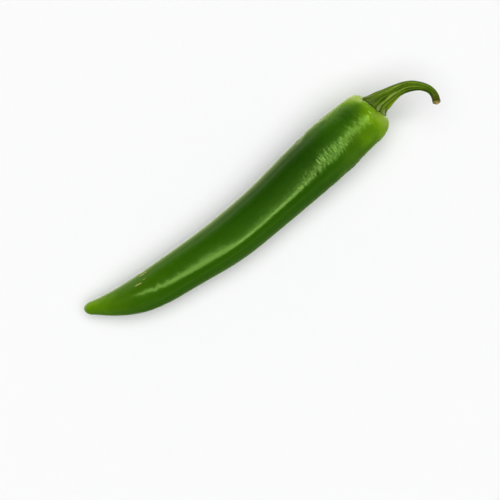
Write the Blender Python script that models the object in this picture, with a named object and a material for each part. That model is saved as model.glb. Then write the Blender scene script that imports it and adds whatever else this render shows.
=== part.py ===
"""A finger chili pepper, picked with its stem, lying on a flat surface.

It is two pieces that grew together. The pod is a long tapering tube, swept along a gently bent line,
with a blunt tip at one end and a shoulder at the other that rolls over into the seat of the calyx.
The calyx and the stem are one piece: a thin cap with five blunt teeth on the shoulder, which narrows
like a funnel into a ridged, hooked stem with a cut end.

Lengths are in millimetres until a point is stored, which turns it into metres. The lines and
profiles are given from the tip of the pod: x runs towards the stem, y to the left and z up, with
the surface that the pepper lies on at z = 0. The finished pepper has its origin on that surface,
below the middle of its bounding box.
"""

import math

import bmesh
import bpy
import numpy as np

MM = 0.001
GAP = 0.3  # between the underside of the calyx and the pod

# The middle line of the pod, from the blunt tip to the middle of the calyx.
POD_LINE = (
    (0.0, 0.4, 4.6),
    (7.8, -3.2, 6.0),
    (20.0, -6.7, 7.1),
    (35.0, -7.7, 7.45),
    (52.0, -8.0, 7.95),
    (70.0, -6.4, 8.45),
    (88.0, -3.7, 9.1),
    (104.0, -1.4, 9.8),
    (113.0, -0.3, 10.6),
    (118.5, 0.4, 11.8),
    (122.1, 1.35, 12.7),
)
# How thick the pod is: distance from the tip along its line, and radius there.
POD_BODY = (
    (4.3, 2.65),
    (8.1, 3.65),
    (15.0, 5.35),
    (22.5, 6.65),
    (32.0, 7.35),
    (43.0, 7.8),
    (57.0, 8.55),
    (71.0, 8.85),
    (85.0, 9.5),
    (99.0, 10.0),
    (107.0, 9.95),
    (114.0, 9.4),
)
# The shoulder: distance past the end of the line, and radius there, in to the seat of the calyx.
POD_SHOULDER = (
    (-6.6, 9.2),
    (-4.6, 9.05),
    (-3.0, 8.65),
    (-1.7, 7.9),
    (-0.7, 6.8),
    (-0.25, 5.6),
    (-0.2, 4.4),
    (-0.3, 2.2),
    (-0.4, 0.0),
)
TIP_RADIUS = 1.8
TIP_ROUND = 2.4
POD_FLATTEN = 0.97  # height over width of the pod
BELLY_DIP = 0.15  # how far the belly would sink into the surface if it weren't pressed flat

# Three faint lobes along the pod, which fade in between two distances from the tip.
LOBES = 3
LOBE_DEPTH = 0.014  # share of the pod's radius
LOBE_TURN = 0.011  # radians that the lobes twist for each millimetre of the pod
LOBE_FADE = (15, 70)

# The calyx: the radius of its rim between two teeth, their length, and the rim's thickness.
RIM_RADIUS = 4.6
TOOTH_LENGTH = 0.5
TOOTH_SHARPNESS = 1.5
RIM_THICK = 0.85
CALYX_TEETH = 5
# The rounded edge of the rim: how far it stands out, and the share of its thickness there.
RIM_EDGE = ((0.12, 0.25), (0.16, 0.5), (0.1, 0.75), (-0.1, 0.95))

# The middle line of the stem, from the middle of the calyx to the cut end.
STEM_LINE = (
    (123.0, 1.8, 12.9),
    (125.2, 1.6, 13.4),
    (128.5, 1.5, 13.8),
    (132.0, 1.3, 14.1),
    (135.3, 0.4, 14.3),
    (138.7, -1.8, 14.5),
    (141.0, -5.6, 15.0),
    (140.8, -8.1, 15.4),
    (140.0, -9.8, 15.8),
)
# How thick the stem is: distance from the calyx along its line, and radius there.
STEM_RADII = (
    (0.0, 4.45),
    (1.0, 4.0),
    (2.4, 3.7),
    (4.0, 3.2),
    (5.7, 2.75),
    (9.1, 2.15),
    (12.8, 1.92),
    (16.7, 1.6),
    (22.0, 1.35),
    (24.0, 1.36),
    (25.9, 1.4),
)
FUNNEL_LENGTH = 7.0  # over which the rings turn from the pod's end to square across the stem
STEM_RIDGES = 5
RIDGE_HEIGHT = 0.07  # share of the stem's radius
# The cut end is a shallow dish: share of the end's radius, and depth there.
CUT_END = ((0.62, 0.1), (0.0, 0.25))

# The middle of the bounding box, on the surface.
ORIGIN = (71.21, -3.67, 0.0)

POD_SIDES, POD_RINGS = 48, 62
STEM_SIDES, STEM_RINGS = 40, 40
UNDERSIDE_RINGS = 7
END_CROWDING = 0.75  # 0 spaces the pod's rings evenly, 1 crowds them at the tip and the shoulder
CALYX_CROWDING = 1.4  # 1 spaces the stem's rings evenly, and more crowds them at the calyx
LINE_SAMPLES = 1200
SEAT_SAMPLES = 400
SEAT_SHARE = 0.85  # the share of the pod's outline from which the seat of the calyx is sought


def spline(stations, values, at):
    """The natural cubic spline through the values at the stations, read at the positions given."""
    x, y = np.asarray(stations, float), np.asarray(values, float)
    step = np.diff(x)
    system, target = np.eye(len(x)), np.zeros(y.shape)
    for i in range(1, len(x) - 1):
        before, after = step[i - 1], step[i]
        system[i, i - 1 : i + 2] = before, 2 * (before + after), after
        target[i] = 6 * ((y[i + 1] - y[i]) / after - (y[i] - y[i - 1]) / before)
    bend = np.linalg.solve(system, target)
    at = np.atleast_1d(np.asarray(at, float))
    k = np.clip(np.searchsorted(x, at, side="right") - 1, 0, len(x) - 2)
    a, h = (x[k + 1] - at) / step[k], step[k]
    if y.ndim == 2:
        a, h = a[:, None], h[:, None]
    b = 1 - a
    curve = ((a**3 - a) * bend[k] + (b**3 - b) * bend[k + 1]) * h**2 / 6
    return a * y[k] + b * y[k + 1] + curve


def smoothstep(low, high, at):
    t = np.clip((np.asarray(at, float) - low) / (high - low), 0, 1)
    return t * t * (3 - 2 * t)


class Line:
    """A smooth curve through points, read by the distance along it. It runs on straight past its ends."""

    def __init__(self, points):
        points = np.array(points, float)
        chords = np.linalg.norm(np.diff(points, axis=0), axis=1)
        stations = np.concatenate([[0], np.cumsum(chords)])
        self.points = spline(stations, points, np.linspace(0, stations[-1], LINE_SAMPLES))
        steps = np.linalg.norm(np.diff(self.points, axis=0), axis=1)
        self.along = np.concatenate([[0], np.cumsum(steps)])
        self.tangents = np.gradient(self.points, self.along, axis=0)
        self.length = self.along[-1]

    def read(self, at):
        """Positions, and the directions along the line, to its left and upwards, at distances along it."""
        at = np.atleast_1d(np.asarray(at, float))
        inside = np.clip(at, 0, self.length)
        position = np.stack([np.interp(inside, self.along, c) for c in self.points.T], axis=1)
        forward = np.stack([np.interp(inside, self.along, c) for c in self.tangents.T], axis=1)
        forward = unit(forward)
        left = unit(np.cross((0, 0, 1), forward))
        position += (at - inside)[:, None] * forward
        return position, forward, left, np.cross(forward, left)


def unit(vectors):
    return vectors / np.linalg.norm(vectors, axis=-1, keepdims=True)


def around(sides):
    """Angles round a ring, from the left side over the top."""
    return np.arange(sides) * 2 * math.pi / sides


def pod_profile():
    """The pod's outline as (distance along its line, radius), read by the share of its own length."""
    shoulder = [(POD.length + past, radius) for past, radius in POD_SHOULDER]
    points = np.array([(0.0, TIP_RADIUS), *POD_BODY, *shoulder])
    chords = np.linalg.norm(np.diff(points, axis=0), axis=1)
    share = np.concatenate([[0], np.cumsum(chords)]) / chords.sum()
    return lambda at: spline(share, points, at)


def pod_outline(share):
    """(distance, radius) of the pod's outline at shares of its length, with the tip rounded off."""
    distance, radius = PROFILE(share).T
    closing = np.clip(1 - distance / TIP_ROUND, 0, 1)
    return distance, np.maximum(radius, 0) * np.sqrt(1 - closing**2)


def lobes(distance, angle):
    """How much the pod swells or dips at an angle, as a share of its radius. It fades out at the tip."""
    strength = LOBE_DEPTH * smoothstep(*LOBE_FADE, distance)
    return strength * np.cos(LOBES * (angle + LOBE_TURN * distance))


def pod_surface(distance, radius, angle):
    """Points round the pod's line. Distance and radius are one number, or one for each angle."""
    distance, radius, angle = np.broadcast_arrays(distance, radius, angle)
    middle, _, left, up = POD.read(distance)
    reach = radius * (1 + lobes(distance, angle))
    sideways = (reach * np.cos(angle))[:, None] * left
    upwards = (reach * np.sin(angle) * POD_FLATTEN)[:, None] * up
    return middle - (0, 0, BELLY_DIP) + sideways + upwards


def pod_rings():
    """The pod's rings from the tip to the seat of the calyx, with the belly pressed flat."""
    even = np.linspace(0, 1, POD_RINGS + 2)
    crowded = even - END_CROWDING * np.sin(2 * math.pi * even) / (2 * math.pi)
    rings = [pod_surface(d, r, around(POD_SIDES)) for d, r in zip(*pod_outline(crowded))]
    for ring in rings:
        ring[:, 2] = np.maximum(ring[:, 2], 0)
    return rings


def seat_outline(radius, lift):
    """(distance, radius) of a point that stands off the pod's seat by lift, square to its surface."""
    share = np.linspace(SEAT_SHARE, 1, SEAT_SAMPLES)
    outline = np.stack(pod_outline(share), axis=1)
    slope = unit(np.gradient(outline, share, axis=0))
    columns = outline[:, 0], -slope[:, 1], slope[:, 0]
    inwards = outline[::-1, 1]
    distance, along, outwards = [np.interp(radius, inwards, column[::-1]) for column in columns]
    return distance + lift * along, radius + lift * outwards


def teeth(angle):
    """1 at the point of a calyx tooth and 0 between two teeth."""
    return (0.5 + 0.5 * np.cos(CALYX_TEETH * angle)) ** TOOTH_SHARPNESS


def calyx_ring(radius, lift):
    """A ring of the calyx that follows the pod's seat, lifted off it. The radius varies round it."""
    distance, reach = seat_outline(radius, lift)
    return pod_surface(distance, reach, around(STEM_SIDES))


def stem_ring(distance):
    """A ring of the stem, with its ridges. Near the calyx it lies flat on the end of the pod."""
    angle = around(STEM_SIDES)
    turned = smoothstep(0, FUNNEL_LENGTH, distance)
    reach = spline(*zip(*STEM_RADII), distance) * (1 + RIDGE_HEIGHT * turned * np.cos(STEM_RIDGES * angle))
    (middle,), (forward,), _, _ = STEM.read(distance)
    facing = (1 - turned) * POD.read(POD.length)[1][0] + turned * forward
    left = unit(np.cross((0, 0, 1), facing))
    up = unit(np.cross(facing, left))
    return middle + np.outer(reach * np.cos(angle), left) + np.outer(reach * np.sin(angle), up)


def calyx_and_stem_rings():
    """From the middle of the calyx's underside, out round its toothed rim, and along the stem."""
    rim = RIM_RADIUS + TOOTH_LENGTH * teeth(around(STEM_SIDES))
    rings = [calyx_ring(rim * share, GAP) for share in np.linspace(0, 1, UNDERSIDE_RINGS + 1)]
    rings += [calyx_ring(rim + outwards, GAP + RIM_THICK * share) for outwards, share in RIM_EDGE]
    along = STEM.length * np.linspace(0, 1, STEM_RINGS) ** CALYX_CROWDING
    rings += [stem_ring(distance) for distance in along]
    cut = rings[-1]
    middle, forward, _, _ = STEM.read(STEM.length)
    rings += [middle + (cut - middle) * share - forward * depth for share, depth in CUT_END]
    return rings


def loft(name, rings, material):
    """One closed mesh through the rings. The first and the last ring are each drawn together into one point."""
    bm = bmesh.new()
    place = np.array(ORIGIN)
    first = bm.verts.new((rings[0].mean(axis=0) - place) * MM)
    last = bm.verts.new((rings[-1].mean(axis=0) - place) * MM)
    loops = [[bm.verts.new((point - place) * MM) for point in ring] for ring in rings[1:-1]]
    sides = len(loops[0])
    for i in range(sides):
        j = (i + 1) % sides
        bm.faces.new((first, loops[0][j], loops[0][i]))
        bm.faces.new((last, loops[-1][i], loops[-1][j]))
        for near, far in zip(loops, loops[1:]):
            bm.faces.new((near[i], near[j], far[j], far[i]))
    bmesh.ops.recalc_face_normals(bm, faces=bm.faces)
    mesh = bpy.data.meshes.new(name)
    bm.to_mesh(mesh)
    bm.free()
    mesh.shade_smooth()
    mesh.materials.append(material)
    piece = bpy.data.objects.new(name, mesh)
    bpy.context.scene.collection.objects.link(piece)


def plain_material(name, colour, roughness):
    material = bpy.data.materials.new(name)
    material.use_nodes = True
    shader = material.node_tree.nodes["Principled BSDF"]
    shader.inputs["Base Color"].default_value = (*colour, 1)
    shader.inputs["Roughness"].default_value = roughness
    shader.inputs["Metallic"].default_value = 0.0
    return material


def clear_scene():
    for old in list(bpy.data.objects):
        bpy.data.objects.remove(old)


POD = Line(POD_LINE)
STEM = Line(STEM_LINE)
PROFILE = pod_profile()

clear_scene()
skin = plain_material("pod_skin", (0.035, 0.12, 0.004), 0.28)
green = plain_material("calyx_green", (0.10, 0.17, 0.03), 0.6)
loft("pod", pod_rings(), skin)
loft("calyx_and_stem", calyx_and_stem_rings(), green)
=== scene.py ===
"""The looks of a finger chili pepper that lies on a pale floor.

Both pieces are swept again round the lines that the model was made with, much finer, with the wrinkles,
streaks, ridges and frayed fibres of the real thing as geometry. Lengths are in millimetres from the tip
of the pod until a point is stored, which turns it into metres in the frame of the model.
"""

import math

import bpy
import numpy as np
from mathutils import Matrix, Vector


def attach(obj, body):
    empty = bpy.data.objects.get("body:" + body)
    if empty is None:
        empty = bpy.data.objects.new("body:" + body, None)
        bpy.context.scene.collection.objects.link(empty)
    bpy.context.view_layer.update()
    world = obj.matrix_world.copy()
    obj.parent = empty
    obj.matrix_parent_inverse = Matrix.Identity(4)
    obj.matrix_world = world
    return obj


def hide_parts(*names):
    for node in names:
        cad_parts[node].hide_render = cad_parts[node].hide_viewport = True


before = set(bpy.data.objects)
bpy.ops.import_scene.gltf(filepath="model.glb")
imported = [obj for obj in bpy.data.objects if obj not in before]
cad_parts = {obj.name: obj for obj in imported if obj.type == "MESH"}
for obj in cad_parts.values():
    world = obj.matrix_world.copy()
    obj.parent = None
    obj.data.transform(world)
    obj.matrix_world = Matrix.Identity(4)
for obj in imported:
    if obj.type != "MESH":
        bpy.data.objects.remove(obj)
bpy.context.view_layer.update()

MM = 0.001
TURN = 2 * math.pi
ORIGIN = np.array((71.21, -3.67, 0.0))  # of the frame of the model

# The lines and profiles of the two pieces, as the model has them. A profile gives the distance along the
# line and the radius there, and the shoulder's distances are counted from the line's end.
POD_LINE = (
    (0.0, 0.4, 4.6),
    (7.8, -3.2, 6.0),
    (20.0, -6.7, 7.1),
    (35.0, -7.7, 7.45),
    (52.0, -8.0, 7.95),
    (70.0, -6.4, 8.45),
    (88.0, -3.7, 9.1),
    (104.0, -1.4, 9.8),
    (113.0, -0.3, 10.6),
    (118.5, 0.4, 11.8),
    (122.1, 1.35, 12.7),
)
POD_BODY = (
    (4.3, 2.65),
    (8.1, 3.65),
    (15.0, 5.35),
    (22.5, 6.65),
    (32.0, 7.35),
    (43.0, 7.8),
    (57.0, 8.55),
    (71.0, 8.85),
    (85.0, 9.5),
    (99.0, 10.0),
    (107.0, 9.95),
    (114.0, 9.4),
)
POD_SHOULDER = (
    (-6.6, 9.2),
    (-4.6, 9.05),
    (-3.0, 8.65),
    (-1.7, 7.9),
    (-0.7, 6.8),
    (-0.25, 5.6),
    (-0.2, 4.4),
    (-0.3, 2.2),
    (-0.4, 0.0),
)
TIP_RADIUS = 1.8
TIP_ROUND = 2.4
POD_FLATTEN = 0.97
BELLY_DIP = 0.15
LOBES = 3
LOBE_DEPTH = 0.014
LOBE_TURN = 0.011
LOBE_FADE = (15, 70)

RIM_RADIUS = 4.6
STEM_LINE = (
    (123.0, 1.8, 12.9),
    (125.2, 1.6, 13.4),
    (128.5, 1.5, 13.8),
    (132.0, 1.3, 14.1),
    (135.3, 0.4, 14.3),
    (138.7, -1.8, 14.5),
    (141.0, -5.6, 15.0),
    (140.8, -8.1, 15.4),
    (140.0, -9.8, 15.8),
)
STEM_RADII = (
    (0.0, 4.45),
    (1.0, 4.0),
    (2.4, 3.7),
    (4.0, 3.2),
    (5.7, 2.75),
    (9.1, 2.15),
    (12.8, 1.92),
    (16.7, 1.6),
    (22.0, 1.35),
    (24.0, 1.36),
    (25.9, 1.4),
)
FUNNEL_LENGTH = 7.0
LINE_SAMPLES = 1200
SEAT_SAMPLES = 400
SEAT_SHARE = 0.85  # the seat of the calyx is the outline from this share of it on

# How fine the dressed pieces are.
POD_SIDES, POD_RINGS = 160, 620
STEM_SIDES, STEM_RINGS = 144, 330
UNDERSIDE_RINGS = 12
RIM_RINGS = 14
CUT_RING = UNDERSIDE_RINGS + RIM_RINGS + STEM_RINGS

# The pace from ring to ring of the pod, and how much less it is at the shoulder and at the very tip, each
# with the shares of the outline between which it changes. The stem's rings lie closer near the calyx.
RING_PACE = 1.35
SHOULDER_CLOSER, SHOULDER_STRETCH = 0.75, (0.58, 0.8)
TIP_CLOSER, TIP_STRETCH = 1.0, (0, 0.03)
STEM_RING_POWER = 1.25

# The camera looks down past the pod at a point on the floor, which the middle of the picture shows.
CAMERA_AZIMUTH = -34.3
CAMERA_ELEVATION = 84.0
CAMERA_DISTANCE = 487.5
CAMERA_AIM = np.array((59.3, -14.5, 0.0))
CAMERA_CLIP = (0.01, 20)
LENS, SENSOR_WIDTH = 100, 36


def spline(stations, values, at):
    """The natural cubic spline through the values at the stations, read at the positions given."""
    x, y = np.asarray(stations, float), np.asarray(values, float)
    step = np.diff(x)
    system, target = np.eye(len(x)), np.zeros(y.shape)
    for i in range(1, len(x) - 1):
        before, after = step[i - 1], step[i]
        system[i, i - 1 : i + 2] = before, 2 * (before + after), after
        target[i] = 6 * ((y[i + 1] - y[i]) / after - (y[i] - y[i - 1]) / before)
    bend = np.linalg.solve(system, target)
    at = np.atleast_1d(np.asarray(at, float))
    k = np.clip(np.searchsorted(x, at, side="right") - 1, 0, len(x) - 2)
    a, h = (x[k + 1] - at) / step[k], step[k]
    if y.ndim == 2:
        a, h = a[:, None], h[:, None]
    b = 1 - a
    curve = ((a**3 - a) * bend[k] + (b**3 - b) * bend[k + 1]) * h**2 / 6
    return a * y[k] + b * y[k + 1] + curve


def smoothstep(low, high, at):
    """0 up to low and 1 from high on, with a soft step between. It falls where high is the lesser."""
    t = np.clip((np.asarray(at, float) - low) / (high - low), 0, 1)
    return t * t * (3 - 2 * t)


def bell(share):
    """1 at 0, falling away softly on either side."""
    return np.exp(-(share**2))


def varied(mean, spread, wave):
    """A value that wanders about its mean, by up to its spread, as a wave from -1 to 1 does."""
    return mean + spread * wave


def unit(vectors):
    return vectors / np.linalg.norm(vectors, axis=-1, keepdims=True)


def around(sides):
    """Angles round a ring, from the left side over the top."""
    return np.arange(sides) * TURN / sides


def apart(angle, other):
    """The way from another angle to this one, from minus half a turn to half a turn."""
    return (angle - other + math.pi) % TURN - math.pi


def nearness(angle, middle, reach):
    """1 at the middle angle, falling to 0 at its reach on either side."""
    return 1 - smoothstep(0, 1, np.abs(apart(angle, middle)) / reach)


class Line:
    """A smooth curve through points, read by the distance along it. It runs on straight past its ends."""

    def __init__(self, points):
        points = np.array(points, float)
        chords = np.linalg.norm(np.diff(points, axis=0), axis=1)
        stations = np.concatenate([[0], np.cumsum(chords)])
        self.points = spline(stations, points, np.linspace(0, stations[-1], LINE_SAMPLES))
        steps = np.linalg.norm(np.diff(self.points, axis=0), axis=1)
        self.along = np.concatenate([[0], np.cumsum(steps)])
        self.tangents = np.gradient(self.points, self.along, axis=0)
        self.length = self.along[-1]

    def read(self, at):
        """Positions, and the directions along the line, to its left and upwards, at distances along it."""
        at = np.asarray(at, float)
        inside = np.clip(at, 0, self.length)
        position = np.stack([np.interp(inside, self.along, c) for c in self.points.T], axis=-1)
        forward = unit(np.stack([np.interp(inside, self.along, c) for c in self.tangents.T], axis=-1))
        left = unit(np.cross((0, 0, 1), forward))
        position += (at - inside)[..., None] * forward
        return position, forward, left, np.cross(forward, left)


def ease(t):
    """From 0 to 1 as t does, with no bend at either end."""
    return t**3 * (t * (6 * t - 15) + 10)


def noise(x, y, seed, wrap=0):
    """Smooth random hills and dips from -1 to 1, about one to a unit square. They repeat each wrap of y."""
    x, y = np.broadcast_arrays(np.asarray(x, float), np.asarray(y, float))
    x = x - np.floor(x.min())
    y = y - (0 if wrap else np.floor(y.min()))
    rows, columns = int(x.max()) + 2, wrap or int(y.max()) + 2
    heights = np.random.default_rng(seed).uniform(-1, 1, (rows, columns))
    i, j = np.floor(x).astype(int), np.floor(y).astype(int)
    a, b = ease(x - i), ease(y - j)
    j, k = j % columns, (j + 1) % columns
    near = heights[i, j] * (1 - b) + heights[i, k] * b
    far = heights[i + 1, j] * (1 - b) + heights[i + 1, k] * b
    return near * (1 - a) + far * a


def hills(pattern, distance, angle, drift=0):
    """Noise over a piece, shifted along it by drift, a number of hills.

    A pattern has the length of one hill, how many go round the piece, and the seed."""
    length, number, seed = pattern
    return noise(distance / length + drift, angle / TURN * number, seed, number)


def pod_profile():
    """The pod's outline as (distance along its line, radius), read by the share of its own length."""
    shoulder = [(POD.length + past, radius) for past, radius in POD_SHOULDER]
    points = np.array([(0.0, TIP_RADIUS), *POD_BODY, *shoulder])
    chords = np.linalg.norm(np.diff(points, axis=0), axis=1)
    share = np.concatenate([[0], np.cumsum(chords)]) / chords.sum()
    return lambda at: spline(share, points, at)


def pod_outline(share):
    """(distance, radius) of the pod's outline at shares of its length, with the tip rounded off."""
    distance, radius = PROFILE(share).T
    closing = np.clip(1 - distance / TIP_ROUND, 0, 1)
    return distance, np.maximum(radius, 0) * np.sqrt(1 - closing**2)


def lobes(distance, angle):
    """How much the pod swells or dips at an angle, as a share of its radius. It fades out at the tip."""
    strength = LOBE_DEPTH * smoothstep(*LOBE_FADE, distance)
    return strength * np.cos(LOBES * (angle + LOBE_TURN * distance))


def pod_surface(distance, radius, angle):
    """Points round the pod's line, at distances along it, radii and angles that broadcast together."""
    distance, radius, angle = np.broadcast_arrays(distance, radius, angle)
    middle, _, left, up = POD.read(distance)
    reach = radius * (1 + lobes(distance, angle))
    sideways = (reach * np.cos(angle))[..., None] * left
    upwards = (reach * np.sin(angle) * POD_FLATTEN)[..., None] * up
    return middle - (0, 0, BELLY_DIP) + sideways + upwards


TINY = 1e-12  # no normal is divided by less


def outward(grid):
    """The normals of a grid of points whose rows are rings, pointing out of the piece."""
    along = np.gradient(grid, axis=0)
    across = np.roll(grid, -1, axis=1) - np.roll(grid, 1, axis=1)
    normal = np.cross(across, along)
    return normal / np.maximum(np.linalg.norm(normal, axis=-1, keepdims=True), TINY)


POD = Line(POD_LINE)
STEM = Line(STEM_LINE)
PROFILE = pod_profile()

# The pod isn't quite round: how many degrees the skin that faces up and to the right leans, by distance from
# the tip.
LEAN = (
    (0, 0.0),
    (8, 0.0),
    (13, 1.0),
    (21, 9.5),
    (29, 4.0),
    (37, -2.0),
    (50, -6.8),
    (61, -8.0),
    (71, -8.2),
    (82, -7.8),
    (92, -4.6),
    (103, -2.5),
    (111, 2.0),
    (117, 9.0),
    (122, 5.0),
    (128, 0.0),
)
LEAN_MIDDLE = math.radians(113)
LEAN_REACH = math.radians(60)

# Wrinkles across the pod: the distances and the radii between which they fade in at the shoulder, how strong
# they are before it and where that begins, how high they stand and how far apart.
WRINKLE_FADE = (78, 114)
WRINKLE_RADII = (4.5, 8.0)
WRINKLE_LEAST, WRINKLE_START = 0.06, (4, 20)
WRINKLE_HEIGHT = 0.125
WRINKLE_STEP = 0.52
WRINKLE_DRIFT = 3.0
WRINKLE_BENDS = (7, 7, 11)
# The length of a wrinkle's pattern is counted in wrinkles. The finer ones lie closer and stand lower.
WRINKLES = (1, 30, 12)
FINER_WRINKLES = (1, 60, 13)
FINER_PACE, FINER_SHARE = 1.9, 0.3
# Patches where the wrinkles are clearer or fainter, and the lumps below them.
WRINKLE_PATCHES = (6, 9, 14)
PATCH_STRENGTH = (0.6, 0.4)
LUMP_HEIGHT = 0.13
LUMPS = (3.6, 15, 19)
LUMP_BENDS = (9, 7, 24)

# The slow unevenness of the whole pod, and how many times lower its finer swells are.
SWELL_HEIGHT = 0.09
SWELL_START = (3, 20)
SWELLS = (16, 5, 16)
FINER_SWELLS = (6, 9, 17)
FINER_SWELLS_LOWER = 3

# Soft ripples near the tip: where they start and stop, how high they stand, and their pattern.
RIPPLE_START, RIPPLE_STOP = (12, 18), (26, 44)
RIPPLE_HEIGHT = 0.06
RIPPLES = (1.6, 9, 21)
RIPPLE_BENDS = (8, 5, 23)

# Creases that run across the shoulder. Each draws its distance from the tip, its angle, length, width, depth
# and slant between these ends. It is full deep over this share of each half, and fades out past it.
CREASES, CREASE_SEED = 26, 20
CREASE_ENDS = (
    (86, 119),
    (0, TURN),
    (3, 7),
    (0.35, 0.7),
    (0.03, 0.11),
    (-0.3, 0.3),
)
CLEAREST_CREASE = (108.0, math.radians(106), 6.0, 0.6, 0.16, 0.3)
CREASE_FULL = 0.2

# The skin is gathered in soft folds where it turns in under the calyx: the angle and height of each, the
# distances from the pod's end between which they fade out, and the radii between which they fade in.
PUCKERS = (
    (math.radians(13), 0.2),
    (math.radians(42), -0.3),
    (math.radians(66), 0.2),
    (math.radians(89), 0.18),
    (math.radians(114), -0.3),
    (math.radians(136), 0.14),
    (math.radians(190), 0.08),
    (math.radians(217), -0.2),
    (math.radians(246), 0.3),
    (math.radians(279), -0.24),
    (math.radians(308), 0.36),
    (math.radians(338), -0.2),
)
PUCKER_REACH = math.radians(15)
PUCKER_FADE = (0.8, 3.6)
PUCKER_INNER = (5.0, 6.0)
# Finer waves between the folds.
PUCKER_WAVES = (2, 23, 15)
PUCKER_WAVE_HEIGHT = 0.15

# Corky streaks: distance from the tip, angle from the left side over the top, length, width and strength.
CORK = (
    (21.7, math.radians(65), 2.7, 0.44, 1.0),
    (24.8, math.radians(38), 3.4, 0.62, 1.0),
    (24.3, math.radians(58), 1.4, 0.24, 0.6),
)
CORK_HEIGHT = 0.04
# Where a streak fades out, in squares of its half-sizes, how its width varies, and how often that turns
# to a millimetre.
CORK_EDGE = (0.5, 1.3)
CORK_WIDTH = (1, 0.35)
CORK_NICKS, CORK_SEED = 2.2, 18


def pod_grid():
    """The pod's fine rings, each with its distance from the tip, and the radius there."""
    share = np.linspace(0, 1, POD_RINGS + 2)
    pace = RING_PACE - SHOULDER_CLOSER * smoothstep(*SHOULDER_STRETCH, share)
    pace = pace - TIP_CLOSER * (1 - smoothstep(*TIP_STRETCH, share))
    placed = np.concatenate([[0], np.cumsum((pace[1:] + pace[:-1]) / 2)])
    distance, radius = pod_outline(placed / placed[-1])
    return distance, radius, pod_surface(distance[:, None], radius[:, None], around(POD_SIDES))


def lean(distance, radius, angle):
    """A gentle bulge and dip side by side, which turns the skin between them."""
    turned = np.radians(spline(*zip(*LEAN), distance.ravel()))[:, None]
    across = np.clip(apart(angle, LEAN_MIDDLE) / LEAN_REACH, -1, 1) * math.pi / 2
    steepest = math.pi / LEAN_REACH
    return -radius * turned * np.sin(2 * across) * np.cos(across) ** 2 / steepest


def wrinkles(distance, radius, angle):
    """Fine folds across the pod, strongest near the shoulder and none at the tip."""
    at_shoulder = smoothstep(*WRINKLE_FADE, distance) * smoothstep(*WRINKLE_RADII, radius)
    before_it = WRINKLE_LEAST * smoothstep(*WRINKLE_START, distance)
    rows = distance / WRINKLE_STEP + WRINKLE_DRIFT * hills(WRINKLE_BENDS, distance, angle)
    folds = hills(WRINKLES, rows, angle) + FINER_SHARE * hills(FINER_WRINKLES, rows * FINER_PACE, angle)
    clearness = varied(*PATCH_STRENGTH, hills(WRINKLE_PATCHES, distance, angle))
    lumps = hills(LUMPS, distance, angle, hills(LUMP_BENDS, distance, angle))
    strength = np.maximum(at_shoulder, before_it)
    return strength * (WRINKLE_HEIGHT * clearness * folds + LUMP_HEIGHT * lumps)


def creases(distance, radius, angle):
    """Short furrows across the shoulder, with the clearest one listed on its own."""
    draw = np.random.default_rng(CREASE_SEED)
    rows = [[draw.uniform(*ends) for ends in CREASE_ENDS] for _ in range(CREASES)]
    height = 0
    for at, middle, length, width, depth, slant in (*rows, CLEAREST_CREASE):
        aside = apart(angle, middle) * radius
        along = distance - at - slant * aside
        strength = 1 - smoothstep(CREASE_FULL, 1, np.abs(aside) / (length / 2))
        height -= depth * bell(along / width) * strength
    return height


def puckers(distance, radius, angle):
    """Soft folds where the skin turns in under the calyx."""
    fold = PUCKER_WAVE_HEIGHT * hills(PUCKER_WAVES, radius, angle)
    for middle, height in PUCKERS:
        fold = fold + height * nearness(angle, middle, PUCKER_REACH)
    near = 1 - smoothstep(*PUCKER_FADE, POD.length - distance)
    return fold * near * smoothstep(*PUCKER_INNER, radius)


def ripples(distance, angle):
    """Soft unevenness near the tip."""
    strength = smoothstep(*RIPPLE_START, distance) * (1 - smoothstep(*RIPPLE_STOP, distance))
    wave = hills(RIPPLES, distance, angle, hills(RIPPLE_BENDS, distance, angle))
    return RIPPLE_HEIGHT * strength * wave


def swells(distance, angle):
    """The slow unevenness of the whole pod."""
    waves = hills(SWELLS, distance, angle) + hills(FINER_SWELLS, distance, angle) / FINER_SWELLS_LOWER
    return SWELL_HEIGHT * smoothstep(*SWELL_START, distance) * waves


def cork(distance, radius, angle):
    """1 on the corky streaks and 0 off them."""
    mask = np.zeros(np.broadcast(distance, angle).shape)
    for at, middle, length, width, strength in CORK:
        across = apart(angle, middle) * radius
        ragged = varied(*CORK_WIDTH, noise(distance * CORK_NICKS, at, CORK_SEED))
        reach = ((distance - at) / (length / 2)) ** 2 + (across / (width / 2 * ragged)) ** 2
        mask = np.maximum(mask, strength * (1 - smoothstep(*CORK_EDGE, reach)))
    return mask


def skin_faces(rings, sides):
    """The faces between rings of points, and those that draw each end together into one more point."""
    near = np.arange(sides)
    beside = (near + 1) % sides
    start = np.arange(rings - 1)[:, None] * sides
    quads = np.stack([start + near, start + beside, start + sides + beside, start + sides + near], axis=-1)
    first, last = rings * sides, rings * sides + 1
    end = (rings - 1) * sides
    faces = quads.reshape(-1, 4).tolist()
    faces += [(first, int(b), int(a)) for a, b in zip(near, beside)]
    faces += [(last, end + int(a), end + int(b)) for a, b in zip(near, beside)]
    return faces


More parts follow.
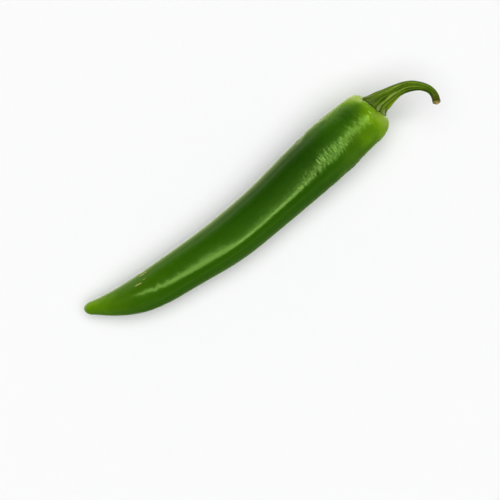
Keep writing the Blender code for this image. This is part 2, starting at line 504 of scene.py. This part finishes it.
def mesh_piece(name, grid, closing, material, node, values):
    """A closed mesh through rings of points, drawn together into one point at each end.

    closing gives those two points, and values the named numbers that its material reads at each point."""
    rings, sides = grid.shape[:2]
    points = (np.concatenate([grid.reshape(-1, 3), closing]) - ORIGIN) * MM
    mesh = bpy.data.meshes.new(name)
    mesh.from_pydata(points.tolist(), [], skin_faces(rings, sides))
    mesh.shade_smooth()
    for label, numbers in values.items():
        layer = mesh.attributes.new(label, "FLOAT", "POINT")
        numbers = np.broadcast_to(numbers, (rings, sides))
        ends = numbers[0].mean(), numbers[-1].mean()
        layer.data.foreach_set("value", np.append(numbers.ravel(), ends).astype(np.float32))
    mesh.materials.append(material)
    piece = bpy.data.objects.new(name, mesh)
    bpy.context.scene.collection.objects.link(piece)
    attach(piece, "root")
    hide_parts(node)


def linear(*srgb):
    """A colour given as 0 to 255 on the screen, as the shader takes it, by the sRGB formula."""
    share = np.array(srgb) / 255
    return (*np.where(share <= 0.04045, share / 12.92, ((share + 0.055) / 1.055) ** 2.4), 1.0)


# The sockets of a node that mixes colours: its factor, the colours below and above, and the result.
MIX_INPUTS, MIX_RESULT = (0, 6, 7), 2


class Tree:
    """A tree of nodes, made and joined by short calls."""

    def __init__(self, tree):
        self.tree = tree

    def add(self, kind, inputs=(), **settings):
        node = self.tree.nodes.new(kind)
        for label, value in settings.items():
            setattr(node, label, value)
        for socket, value in dict(inputs).items():
            self.feed(node.inputs[socket], value)
        return node

    def feed(self, socket, value):
        if isinstance(value, bpy.types.NodeSocket):
            self.tree.links.new(value, socket)
        else:
            socket.default_value = value

    def maths(self, operation, *values):
        return self.add("ShaderNodeMath", enumerate(values), operation=operation).outputs[0]

    def ramp(self, factor, stops):
        node = self.add("ShaderNodeValToRGB", {"Fac": factor})
        marks = node.color_ramp.elements
        while len(marks) < len(stops):
            marks.new(0.5)  # anywhere, because each mark gets its place below
        for mark, (place, colour) in zip(marks, stops):
            mark.position, mark.color = place, colour
        return node.outputs["Color"]

    def blend(self, factor, below, above):
        inputs = zip(MIX_INPUTS, (factor, below, above))
        return self.add("ShaderNodeMix", inputs, data_type="RGBA").outputs[MIX_RESULT]


class Nodes(Tree):
    """A material's nodes."""

    def __init__(self, name):
        self.material = bpy.data.materials.new(name)
        self.material.use_nodes = True
        super().__init__(self.material.node_tree)
        self.shader = self.tree.nodes["Principled BSDF"]

    def finish(self, **inputs):
        """Set the shader's own inputs, whose names have _ for a space."""
        for label, value in inputs.items():
            self.feed(self.shader.inputs[label.replace("_", " ")], value)
        return self.material

    def attribute(self, label):
        return self.add("ShaderNodeAttribute", attribute_name=label).outputs["Fac"]

    def grain(self, scale, detail):
        """Noise over the piece from 0 to 1, with that many grains to a metre."""
        where = self.add("ShaderNodeTexCoord").outputs["Object"]
        settings = {"Vector": where, "Scale": scale, "Detail": detail}
        return self.add("ShaderNodeTexNoise", settings).outputs["Fac"]

    def mottle(self, scale, detail, depth):
        """The same noise, from half the depth below 0 to half of it above."""
        return self.maths("MULTIPLY_ADD", self.grain(scale, detail), depth, -depth / 2)

    def bump(self, scale, detail, height):
        """The same noise as bumps of that height in millimetres."""
        inputs = {"Height": self.grain(scale, detail), "Distance": height * MM}
        return self.add("ShaderNodeBump", inputs).outputs["Normal"]


# Grain in a material has its number of grains to a metre, its detail and its depth, which for a bump is
# in millimetres.
SKIN_MOTTLE = (420, 4.0, 0.14)
SKIN_BUMP = (900, 2.0, 0.03)
STEM_STREAKS = (800, 3.0, 0.36)
STEM_BUMP = (3000, 3.0, 0.05)

# The greens of the skin, from the darkest to where it is ripest, and one pale stop past that which is painted
# sheen. The ramp takes them as shares of RIPEST.
SKIN_GREENS = (
    (0.1, linear(20, 54, 1)),
    (0.22, linear(27, 65, 1)),
    (0.48, linear(42, 84, 1)),
    (0.72, linear(62, 101, 3)),
    (0.9, linear(82, 124, 2)),
    (1.0, linear(104, 143, 6)),
    # painted sheen: the palest stop, which the pod's end and its left side near the shoulder reach
    (1.4, linear(152, 176, 66)),
)
RIPEST = 1.5
CORK_TAN = linear(178, 164, 92)
# partly the seat's own brown and partly painted shade under the calyx's rim
SEAT_BROWN_AND_SHADE = linear(70, 62, 18)
SKIN_SHEEN = (0.6, 1.0, 0.22, 1)
SKIN_SPECULAR = 0.3
# The roughness of the glossy skin, and what dull skin and cork add to it.
SKIN_ROUGHNESS, DULLED_ROUGHNESS, CORK_ROUGHNESS = 0.17, 0.095, 0.35


def skin_material():
    """Waxy skin: dark green, yellower where it is riper, with painted sheen, painted light and painted shade
    carried in the same ramp, fine mottling, dry streaks, and a brown seat that is partly painted shade.
    """
    n = Nodes("pod_skin")
    mottled = n.mottle(*SKIN_MOTTLE)
    ripe_and_lit = n.maths("MULTIPLY", n.maths("ADD", n.attribute("ripeness_and_painted_light"), mottled), 1 / RIPEST)
    green = n.ramp(ripe_and_lit, [(place / RIPEST, colour) for place, colour in SKIN_GREENS])
    corky = n.attribute("cork")
    colour = n.blend(n.attribute("seat"), n.blend(corky, green, CORK_TAN), SEAT_BROWN_AND_SHADE)
    rough = n.maths("MULTIPLY_ADD", n.attribute("dulled"), DULLED_ROUGHNESS, SKIN_ROUGHNESS)
    return n.finish(
        Base_Color=colour,
        Roughness=n.maths("MULTIPLY_ADD", corky, CORK_ROUGHNESS, rough),
        Specular_IOR_Level=SKIN_SPECULAR,
        Specular_Tint=SKIN_SHEEN,
        Normal=n.bump(*SKIN_BUMP),
    )


# The greens of the stem, from the bottom of its grooves to the top of its ridges; the dark end is partly
# painted shade in the grooves and the pale end partly painted sheen.
STEM_GREENS = (
    (0.0, linear(30, 40, 0)),
    (0.25, linear(44, 68, 0)),
    (0.5, linear(72, 99, 8)),
    (0.75, linear(98, 122, 30)),
    (1.0, linear(128, 148, 64)),
)
FLANK_YELLOW = linear(112, 138, 8)
# the calyx's grey edge, partly its own colour and partly painted sheen
RIM_GREY = linear(138, 148, 98)
DRY_BROWN = linear(58, 50, 8)
PITH_CREAM = linear(196, 180, 108)
PITH_BROWN = linear(112, 84, 34)
STEM_SHEEN = (0.6, 1.0, 0.15, 1)
STEM_SPECULAR = 0.15
# The least roughness of the stem, what its grain adds at most, and that grain.
STEM_ROUGHNESS, STEM_ROUGHER = 0.38, 0.2
STEM_ROUGH_GRAIN = (1500, 2.0)


def stem_material():
    """Ridged green stem, darker in its grooves, partly as painted shade, with painted sheen on one side, grey
    at the rim of the calyx, partly as painted sheen, and cream at the cut.
    """
    n = Nodes("calyx_green")
    streaks = n.mottle(*STEM_STREAKS)
    green = n.ramp(n.maths("ADD", n.attribute("crest"), streaks), STEM_GREENS)
    yellowed = n.blend(n.attribute("flank"), green, FLANK_YELLOW)
    greyed = n.blend(n.attribute("rim"), yellowed, RIM_GREY)
    browned = n.blend(n.attribute("brown"), greyed, DRY_BROWN)
    pith = n.blend(n.attribute("specks"), PITH_CREAM, PITH_BROWN)
    return n.finish(
        Base_Color=n.blend(n.attribute("pith"), browned, pith),
        Roughness=n.maths("MULTIPLY_ADD", n.grain(*STEM_ROUGH_GRAIN), STEM_ROUGHER, STEM_ROUGHNESS),
        Specular_IOR_Level=STEM_SPECULAR,
        Specular_Tint=STEM_SHEEN,
        Normal=n.bump(*STEM_BUMP),
    )


# What makes the skin riper, and so yellower, and where painted sheen, painted light and painted shade go into
# the same number: on which side, the distances from the tip where it starts and where it is full, and how
# much it adds.
LEAST_RIPE = 0.06
RIPER_AND_PAINTED_LIGHT = (
    ("all round", 90, 0, 0.72),
    ("all round", 20, 2, 0.25),
    ("all round", 117, 124.5, 0.25),
    # painted sheen: paler round the pod's end, where the rim catches the light
    ("all round", POD.length - 3.6, POD.length - 1.2, 0.14),
    # partly riper skin and partly painted sheen: paler on the left towards the shoulder
    ("left", 92, 116, 0.75),
    # partly riper skin and partly painted light: the right side lighter, less so near the tip and more at the
    # shoulder
    ("right", 20, 75, 0.36),
    ("right", 90, 0, -0.24),
    ("far right", 100, 116, 0.1),
    # painted shade: a darker band left of the top, near the shoulder
    ("trough", 108, 117, -0.35),
    ("patches", 85, 115, 0.17),
)
# Towards the stem the skin is riper too, and that starts this much sooner on the right.
RIPE_TO_STEM, STEM_RIPENESS = (98, 124), 0.45
SOONER_ON_RIGHT = 10
LEFT_POWER = 1.2
# The angle and reach round the pod of that band of painted shade.
TROUGH_AT, TROUGH_REACH = math.radians(62), math.radians(18)
RIPE_PATCHES = (5, 11, 22)


def ripeness_and_painted_light(distance, angle):
    """How yellow the skin is: most at the tip and at the shoulder, more on the right, partly as painted
    light, pale at the pod's end as painted sheen, paler on the left near the shoulder, partly as painted
    sheen, and darker in a band left of the top as painted shade.
    """
    right = (1 - np.cos(angle)) / 2
    sides = {
        "all round": 1,
        "left": np.maximum(np.cos(angle), 0) ** LEFT_POWER,
        "right": right,
        "far right": right**2,
        "trough": bell(apart(angle, TROUGH_AT) / TROUGH_REACH),
        "patches": hills(RIPE_PATCHES, distance, angle),
    }
    start, full = RIPE_TO_STEM
    ripe_and_lit = LEAST_RIPE + STEM_RIPENESS * smoothstep(start - SOONER_ON_RIGHT * right, full, distance)
    for side, start, full, strength in RIPER_AND_PAINTED_LIGHT:
        ripe_and_lit = ripe_and_lit + strength * smoothstep(start, full, distance) * sides[side]
    return ripe_and_lit


# The skin is duller at the shoulder and near the tip, and brown on the seat of the calyx, which ends this far
# outside the rim and this far before the pod's end. That brown is partly the skin's own and partly painted
# shade where the calyx's rim meets the pod.
DULL_SHOULDER, DULL_TIP = (80, 112), (36, 14)
SEAT_FADE, SEAT_LENGTH = 0.9, 8


def pod_values(distance, radius, angle, streaks):
    """The numbers that the skin's material reads."""
    seat = 1 - smoothstep(RIM_RADIUS, RIM_RADIUS + SEAT_FADE, radius)
    return {
        "ripeness_and_painted_light": ripeness_and_painted_light(distance, angle),
        "cork": streaks,
        "seat": seat * (distance > POD.length - SEAT_LENGTH),
        "dulled": smoothstep(*DULL_SHOULDER, distance) + smoothstep(*DULL_TIP, distance),
    }


def make_pod():
    stations, radii, grid = pod_grid()
    distance, radius, angle = stations[:, None], radii[:, None], around(POD_SIDES)[None, :]
    place = distance, radius, angle
    streaks = cork(*place)
    height = swells(distance, angle) + lean(*place) + wrinkles(*place) + creases(*place) + puckers(*place)
    height += ripples(distance, angle) + CORK_HEIGHT * streaks
    shaped = grid + outward(grid) * height[..., None]
    shaped[..., 2] = np.maximum(shaped[..., 2], 0)
    inside = slice(1, -1)
    values = {label: numbers[inside] for label, numbers in pod_values(*place, streaks).items()}
    closing = shaped[[0, -1]].mean(axis=1)
    mesh_piece("chili_pod", shaped[inside], closing, skin_material(), "pod", values)


# The calyx: how far its rim stands off the pod, how thick its edge is and how far it bulges, the nicks in the
# rim, and its teeth, each with its angle, its length and how pale it is.
RIM_LIFT = 0.14
LIP = 0.4
LIP_BULGE = 0.1
RIM_NICKS, NICK_DEPTH = (1, 23, 31), 0.1
# A tooth's paleness is partly the calyx's own grey and partly painted sheen.
TEETH = (
    (math.radians(14), 0.35, 1.0),
    (math.radians(41), 1.5, 0.15),
    (math.radians(70), 0.5, 0.2),
    (math.radians(109), 1.7, 0.35),
    (math.radians(147), 0.9, 0.75),
    (math.radians(176), 0.3, 0.35),
    (math.radians(214), 1.3, 0.3),
    (math.radians(250), 0.6, 0.3),
    (math.radians(286), 1.4, 0.2),
    (math.radians(322), 0.8, 0.35),
)
TOOTH_REACH = math.radians(17)
FLARE = 1.6  # over this distance the rim turns into the stem

# Ridges along the stem: the angle that each has, and its share of the full height, which is RIDGE_SHARE
# of the stem's radius.
RIDGES = (
    (math.radians(4), 0.8),
    (math.radians(36), 0.7),
    (math.radians(60), 0.9),
    (math.radians(83), 0.45),
    (math.radians(107), 1.1),
    (math.radians(131), 0.6),
    (math.radians(168), 0.9),
    (math.radians(230), 1.0),
    (math.radians(272), 0.8),
    (math.radians(316), 1.0),
)
RIDGE_REACH = math.radians(11)
RIDGE_SHARE = 0.17
RIDGE_MIDDLE = 0.5  # a ridge of this height leaves the stem's radius as it is
RIDGE_BENDS, RIDGE_WANDER = (6, 7, 32), 0.1
# How a ridge's height varies along it, and over what length.
RIDGE_STRENGTH = (0.85, 0.35)
RIDGE_UNEVEN, RIDGE_SEED = 4.5, 38
FIBRES, FIBRE_HEIGHT = (3.0, 61, 33), 0.022

# The rings across the cut end, and how far its fibres are frayed. Their pattern is counted in rows.
CUT_SHARES = (0.93, 0.82, 0.68, 0.52, 0.34, 0.16)
FRAYING = 0.6
FRAYED, FRAYED_ROWS = (1, 19, 34), 9


def seat_outline(radius, lift):
    """(distance, radius) of a point that stands off the pod's seat by lift, square to its surface."""
    share = np.linspace(SEAT_SHARE, 1, SEAT_SAMPLES)
    outline = np.stack(pod_outline(share), axis=1)
    slope = unit(np.gradient(outline, share, axis=0))
    columns = outline[:, 0], -slope[:, 1], slope[:, 0]
    inwards = outline[::-1, 1]
    distance, along, outwards = [np.interp(radius, inwards, column[::-1]) for column in columns]
    return distance + lift * along, radius + lift * outwards


def calyx_ring(radius, lift):
    """A ring of the calyx that follows the pod's seat, lifted off it. The radius varies round it."""
    distance, reach = seat_outline(radius, lift)
    return pod_surface(distance, reach, around(STEM_SIDES))


def calyx_rim():
    """The radius of the calyx round its rim, with short uneven teeth, and how pale it is there, partly its
    own grey and partly painted sheen.
    """
    angle = around(STEM_SIDES)
    rim = RIM_RADIUS + NICK_DEPTH * hills(RIM_NICKS, 0, angle)
    pale = np.zeros(STEM_SIDES)
    for middle, length, paleness in TEETH:
        share = nearness(angle, middle, TOOTH_REACH)
        rim += length * share
        pale += paleness * share
    return rim, pale


def calyx_rings(rim):
    """Rings from the middle of the calyx's underside out to its rim, and on over its rounded lip."""
    shares = np.linspace(0, 1, UNDERSIDE_RINGS + 1)[1:]
    turns = np.linspace(0, math.pi, RIM_RINGS + 2)[1:-1]
    under = [calyx_ring(rim * share, RIM_LIFT) for share in shares]
    lip = [calyx_ring(rim + LIP_BULGE * math.sin(a), RIM_LIFT + LIP / 2 * (1 - math.cos(a))) for a in turns]
    return np.array(under + lip)


def ridge_height(distance, angle):
    """0 in the grooves between the ridges to about 1 on top of them. They wander a little along the stem."""
    wandered = angle + RIDGE_WANDER * hills(RIDGE_BENDS, distance, angle)
    height = 0
    for middle, share in RIDGES:
        share = share * varied(*RIDGE_STRENGTH, noise(distance / RIDGE_UNEVEN + middle, 0, RIDGE_SEED))
        height = np.maximum(height, share * bell(apart(wandered, middle) / RIDGE_REACH))
    return height


def stem_rings(distance):
    """Rings of the stem, with its ridges. Near the calyx they lie flat on the end of the pod."""
    angle = around(STEM_SIDES)
    turned = smoothstep(0, FUNNEL_LENGTH, distance)[:, None]
    radius = spline(*zip(*STEM_RADII), distance)[:, None]
    ridge = ridge_height(distance[:, None], angle) - RIDGE_MIDDLE
    fibres = hills(FIBRES, distance[:, None], angle)
    reach = (radius * (1 + RIDGE_SHARE * ridge) + FIBRE_HEIGHT * fibres)[..., None]
    middle, forward, _, _ = STEM.read(distance)
    facing = (1 - turned) * POD.read(POD.length)[1] + turned * forward
    left = unit(np.cross((0, 0, 1), facing))
    up = unit(np.cross(facing, left))
    around_it = np.cos(angle)[None, :, None] * left[:, None] + np.sin(angle)[None, :, None] * up[:, None]
    return middle[:, None] + reach * around_it


def cut_end(last):
    """Rings across the cut end of the stem, torn into short fibres, and its middle."""
    angle = around(STEM_SIDES)
    middle, forward, _, _ = STEM.read(STEM.length)
    rings = []
    for share in CUT_SHARES:
        torn = FRAYING * hills(FRAYED, share * FRAYED_ROWS, angle) * share
        rings.append(middle + (last - middle) * share + forward * torn[:, None])
    return np.array(rings), middle


# The stem's colours, by the distance along it or the number of the ring. The crest is its shade of green: the
# least, and what the painted sheen on one side, the ridges, the fibres and the blotches add. The ridges
# lighten the tops and leave the grooves dark, partly as painted shade.
CREST_LEAST, CREST_PAINTED_SHEEN, CREST_RIDGE, CREST_FIBRE, CREST_BLOTCH = 0.16, 0.14, 0.54, 0.28, 0.1
# painted sheen: the side of the stem round this angle is made lighter
PAINTED_SHEEN_AT = math.radians(30)
BLOTCHES = (3.5, 5, 36)
# The yellow flank: its strength, its middle and reach round the stem, and where it starts and ends.
FLANK_STRENGTH = 0.75
FLANK_MIDDLE, FLANK_REACH = math.radians(172), math.radians(58)
FLANK_START, FLANK_FADE = (0.5, 2.5), (3, 15)
# The pale rim of the calyx, partly its own grey and partly painted sheen: the rings over which it starts, and
# where it ends.
PALE_RINGS, PALE_FADE = (UNDERSIDE_RINGS - 2, UNDERSIDE_RINGS + 3), (0.4, 2.0)
# The brown end: where it starts and is full, and how uneven it is.
BROWNING = (STEM.length - 5.5, STEM.length - 0.3)
BROWN_STRENGTH = (0.75, 0.25)
# The specks in the pith at the cut, whose pattern is counted in rows, so many to a ring.
SPECKS, SPECK_ROWS = (1, 13, 37), 0.7
SPECK_EDGE = (-0.5, 0.6)


def stem_values(along, ring, pale):
    """The numbers that the stem's material reads."""
    angle = around(STEM_SIDES)
    fine = hills(FIBRES, along, angle)
    painted_sheen = np.maximum(np.cos(angle - PAINTED_SHEEN_AT), 0)
    crest = CREST_LEAST + CREST_PAINTED_SHEEN * painted_sheen + CREST_RIDGE * ridge_height(along, angle)
    flank = FLANK_STRENGTH * nearness(angle, FLANK_MIDDLE, FLANK_REACH)
    return {
        "crest": crest + CREST_FIBRE * fine + CREST_BLOTCH * hills(BLOTCHES, along, angle),
        "flank": flank * (1 - smoothstep(*FLANK_FADE, along)) * smoothstep(*FLANK_START, along),
        "rim": smoothstep(*PALE_RINGS, ring) * (1 - smoothstep(*PALE_FADE, along)) * pale,
        "brown": smoothstep(*BROWNING, along) * varied(*BROWN_STRENGTH, fine),
        "pith": (ring >= CUT_RING) * 1.0,
        "specks": smoothstep(*SPECK_EDGE, hills(SPECKS, ring * SPECK_ROWS, angle)),
    }


def make_stem():
    rim, pale = calyx_rim()
    calyx = calyx_rings(rim)
    distance = STEM.length * np.linspace(0, 1, STEM_RINGS + 1)[1:] ** STEM_RING_POWER
    rising = smoothstep(0, FLARE, distance)[:, None, None]
    stem = (1 - rising) * calyx[-1] + rising * stem_rings(distance)
    end, middle = cut_end(stem[-1])
    grid = np.concatenate([calyx, stem, end])
    along = np.concatenate([np.zeros(len(calyx)), distance, np.full(len(end), STEM.length)])
    values = stem_values(along[:, None], np.arange(len(grid))[:, None], pale)
    closing = np.stack([calyx[0].mean(axis=0), middle])
    material = stem_material()
    mesh_piece("calyx_with_stem", grid, closing, material, "calyx_and_stem", values)


FLOOR_REACH = 4.0
FLOOR_WHITE = (0.86, 0.86, 0.865, 1)
FLOOR_ROUGHNESS = 0.9


def make_floor():
    mesh = bpy.data.meshes.new("floor")
    corners = [(x * FLOOR_REACH, y * FLOOR_REACH, 0) for x, y in ((-1, -1), (1, -1), (1, 1), (-1, 1))]
    mesh.from_pydata(corners, [], [(0, 1, 2, 3)])
    n = Nodes("floor_white")
    mesh.materials.append(n.finish(Base_Color=FLOOR_WHITE, Roughness=FLOOR_ROUGHNESS, Specular_IOR_Level=0))
    floor = bpy.data.objects.new("floor", mesh)
    bpy.context.scene.collection.objects.link(floor)
    floor.visible_glossy = False


def direction(azimuth, elevation):
    """The way from the pepper to something seen at that azimuth and elevation, as the camera counts them."""
    a, e = math.radians(azimuth), math.radians(elevation)
    return np.array((math.sin(a) * math.cos(e), -math.cos(a) * math.cos(e), math.sin(e)))


def make_strip(name, start, end, width, radiance):
    """A soft strip light for the gloss alone. It faces the pepper, from one place to another in metres."""
    length = np.linalg.norm(end - start)
    lamp = bpy.data.lights.new(name, "AREA")
    lamp.shape, lamp.size, lamp.size_y = "RECTANGLE", length, width
    lamp.energy = radiance * math.pi * length * width
    middle = (start + end) / 2
    long_side = (end - start) / length
    back = unit(middle - long_side * (middle @ long_side))
    light = bpy.data.objects.new(name, lamp)
    bpy.context.scene.collection.objects.link(light)
    matrix = np.eye(4)
    matrix[:3, :3] = np.stack([long_side, np.cross(back, long_side), back], axis=1)
    matrix[:3, 3] = middle
    light.matrix_world = Matrix(matrix.tolist())
    light.visible_diffuse = False


# The gloss comes from strips that bend round the pepper a metre away, each from one azimuth and elevation
# to the next. The soft light comes evenly from overhead.
GLOSS_ARC = ((-122, 58), (-98, 67), (-40, 68), (-20, 60), (2, 50), (13, 56), (21, 66), (58, 74))
GLOSS_RADIANCE = (5.5, 10.0, 10.0, 9.0, 7.5, 5.0, 7.0)
GLOSS_WIDTH = 0.24
# A strip that only the shoulder shows: its ends, width and radiance.
SHOULDER_STRIP = ((47, 58), (84, 71), 0.34, 13.0)
# A pale glow low on the pod's left: azimuths, elevation, width and radiance of each of its strips.
GLOW_AZIMUTHS = (120, 180, 240)
GLOW_ROWS = ((9, 0.34, 1.0), (28, 0.3, 0.45))
OVERHEAD_STRENGTH = 3.0
OVERHEAD_SPREAD = math.radians(78)
OVERHEAD_TILT = math.radians(6)
# The sky on either side: heights from -1 straight down to 1 straight up, and the colour at each.
SKY_LEFT = (
    (-0.6, (1.4, 1.6, 0.9)),
    (-0.28, (1.3, 1.45, 0.8)),
    (-0.06, (0.9, 1.0, 0.6)),
    (0.0, (0.8, 0.8, 0.8)),
    (0.35, (0.15, 0.15, 0.15)),
)
SKY_RIGHT = (
    (-0.88, (0.3, 0.4, 0.2)),
    (-0.6, (0.2, 0.28, 0.14)),
    (-0.06, (0.2, 0.28, 0.14)),
    (0.0, (0.8, 0.8, 0.8)),
    (0.35, (0.15, 0.15, 0.15)),
)
HORIZON = 0.5  # its place on a ramp, which takes 0 to 1
# How fast the left sky takes over from the right one, and its share midway between them.
SKY_TURN, SKY_SHARED = 1.5, 0.5


def make_lights():
    places = [direction(*place) for place in GLOSS_ARC]
    rows = [(*ends, GLOSS_WIDTH, radiance) for *ends, radiance in zip(places, places[1:], GLOSS_RADIANCE)]
    start, end, width, radiance = SHOULDER_STRIP
    rows.append((direction(*start), direction(*end), width, radiance))
    for i, row in enumerate(rows):
        make_strip("gloss_%d" % i, *row)
    for elevation, width, radiance in GLOW_ROWS:
        for first, second in zip(GLOW_AZIMUTHS, GLOW_AZIMUTHS[1:]):
            ends = direction(first, elevation), direction(second, elevation)
            make_strip("glow_%d_%d" % (elevation, first), *ends, width, radiance)
    lamp = bpy.data.lights.new("overhead", "SUN")
    lamp.energy, lamp.angle = OVERHEAD_STRENGTH, OVERHEAD_SPREAD
    overhead = bpy.data.objects.new("overhead", lamp)
    overhead.rotation_euler = (OVERHEAD_TILT, 0, 0)
    overhead.visible_glossy = False
    bpy.context.scene.collection.objects.link(overhead)


def make_world():
    """A pale studio, bright round the horizon. Below it is what the gloss sees in place of the floor."""
    world = bpy.data.worlds.new("studio")
    world.use_nodes = True
    n = Tree(world.node_tree)
    where = n.add("ShaderNodeTexCoord").outputs["Generated"]
    split = n.add("ShaderNodeSeparateXYZ", {0: where})
    height = n.maths("MULTIPLY_ADD", split.outputs["Z"], HORIZON, HORIZON)
    skies = []
    for sky in (SKY_RIGHT, SKY_LEFT):
        skies.append(n.ramp(height, [(HORIZON + z * HORIZON, (*colour, 1)) for z, colour in sky]))
    leftwards = n.maths("MULTIPLY_ADD", split.outputs["Y"], SKY_TURN, SKY_SHARED)
    n.feed(world.node_tree.nodes["Background"].inputs["Color"], n.blend(leftwards, *skies))
    bpy.context.scene.world = world


def make_camera():
    data = bpy.data.cameras.new("camera")
    data.lens, data.sensor_width = LENS, SENSOR_WIDTH
    data.clip_start, data.clip_end = CAMERA_CLIP
    camera = bpy.data.objects.new("camera", data)
    bpy.context.scene.collection.objects.link(camera)
    back = direction(CAMERA_AZIMUTH, CAMERA_ELEVATION)
    camera.location = (CAMERA_AIM - ORIGIN) * MM + back * CAMERA_DISTANCE * MM
    camera.rotation_euler = Vector(back).to_track_quat("Z", "Y").to_euler()
    bpy.context.scene.camera = camera


make_pod()
make_stem()
make_floor()
make_lights()
make_world()
make_camera()
bpy.context.scene.view_settings.view_transform = "Standard"
